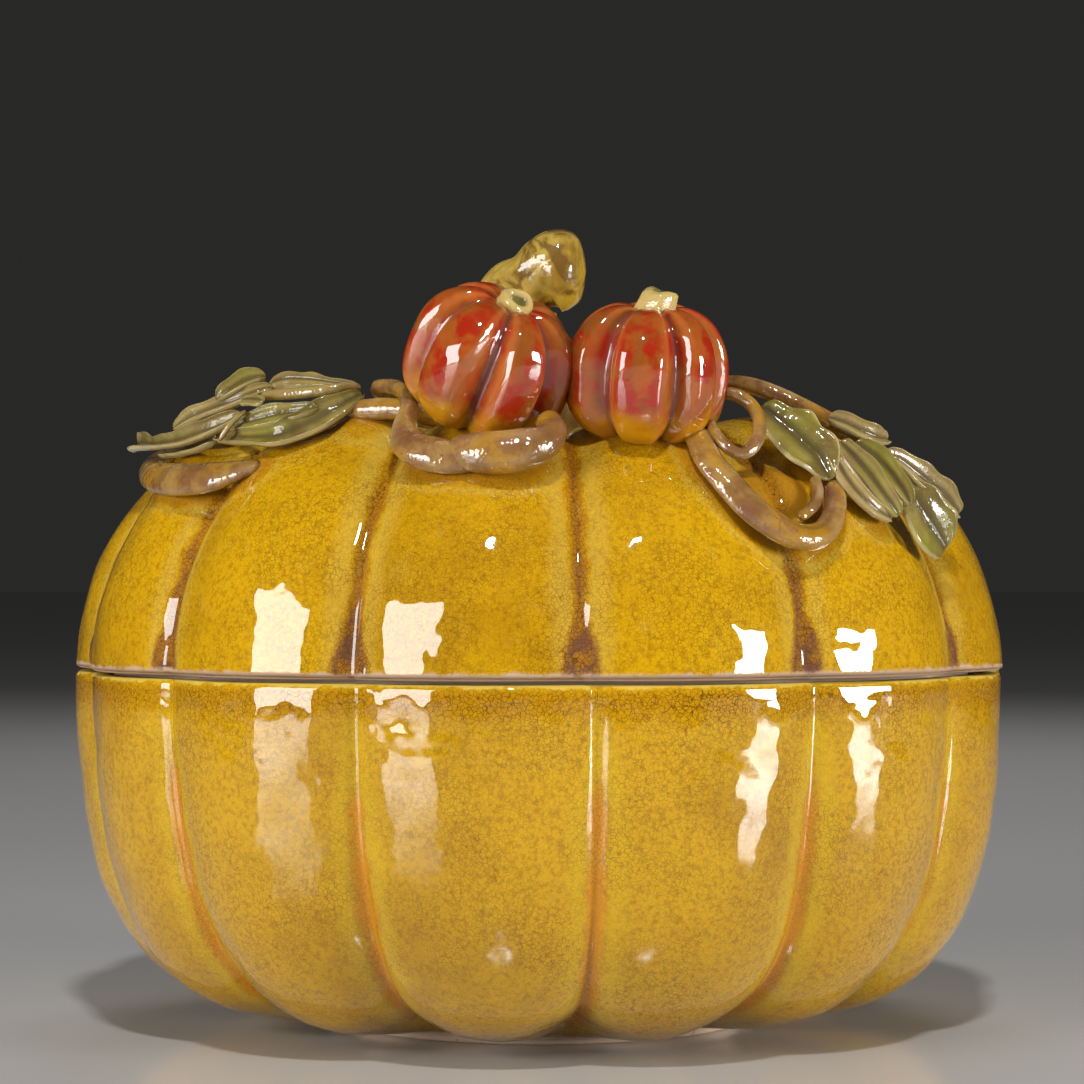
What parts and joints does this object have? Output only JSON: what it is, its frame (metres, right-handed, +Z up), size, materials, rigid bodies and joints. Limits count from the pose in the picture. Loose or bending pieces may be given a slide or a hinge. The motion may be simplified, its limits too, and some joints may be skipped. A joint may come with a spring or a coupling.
{
  "type": "lidded ceramic pumpkin box",
  "caption": "Round lobed ceramic pumpkin box: a deep bowl and a lift-off domed lid carrying a stalk, small pumpkins, vines and leaves in relief.",
  "frame": {"origin": "on the table, under the centre of the pumpkin's bowl", "axes": "+Z up, -Y towards the decorated front, +X to the right seen from the front"},
  "size_m": [0.2295, 0.2288, 0.1946],
  "materials": {
    "amber_glaze": "glossy amber crackle glaze, browner in the valleys",
    "red_glaze": "glossy red and orange mottled glaze, mauve in the valleys",
    "stalk_glaze": "glossy translucent olive and tan glaze",
    "vine_glaze": "glossy translucent mauve-brown glaze",
    "leaf_glaze": "glossy olive glaze with green patches and pale edges",
    "cream_glaze": "thin glossy cream glaze over clay",
    "bare_clay": "unglazed biscuit, fine grain"
  },
  "bodies": {
    "base": {"bowl": "amber_glaze", "foot_ring": "bare_clay"},
    "lid": {"left_back_leaf": "leaf_glaze", "left_coil_vine": "vine_glaze", "left_curled_leaf": "leaf_glaze", "left_cut_stub": "leaf_glaze", "left_front_leaf": "leaf_glaze", "left_loop_vine": "vine_glaze", "left_low_leaf": "leaf_glaze", "left_middle_leaf": "leaf_glaze", "left_petiole": "vine_glaze", "left_root_vine": "vine_glaze", "left_shoulder_vine": "vine_glaze", "left_small_pumpkin": "red_glaze", "left_small_stem": "cream_glaze", "left_tendril": "vine_glaze", "left_tip_leaf": "leaf_glaze", "left_top_leaf": "leaf_glaze", "left_vine_stub": "vine_glaze", "lid_flange": "bare_clay", "lid_shell": "amber_glaze", "right_back_leaf": "leaf_glaze", "right_broad_leaf": "leaf_glaze", "right_curl": "vine_glaze", "right_finger_leaf_1": "leaf_glaze", "right_finger_leaf_2": "leaf_glaze", "right_finger_leaf_3": "leaf_glaze", "right_inner_vine": "vine_glaze", "right_root_vine": "vine_glaze", "right_small_pumpkin": "red_glaze", "right_small_stem": "cream_glaze", "right_tip_leaf": "leaf_glaze", "right_upper_leaf": "leaf_glaze", "right_vine": "vine_glaze", "stalk": "stalk_glaze"}
  },
  "joints": [
    {"name": "lid_lift", "type": "slide", "parent": "base", "child": "lid", "axis": [0, 0, 1], "range_m": [0, 0.1]}
  ]
}
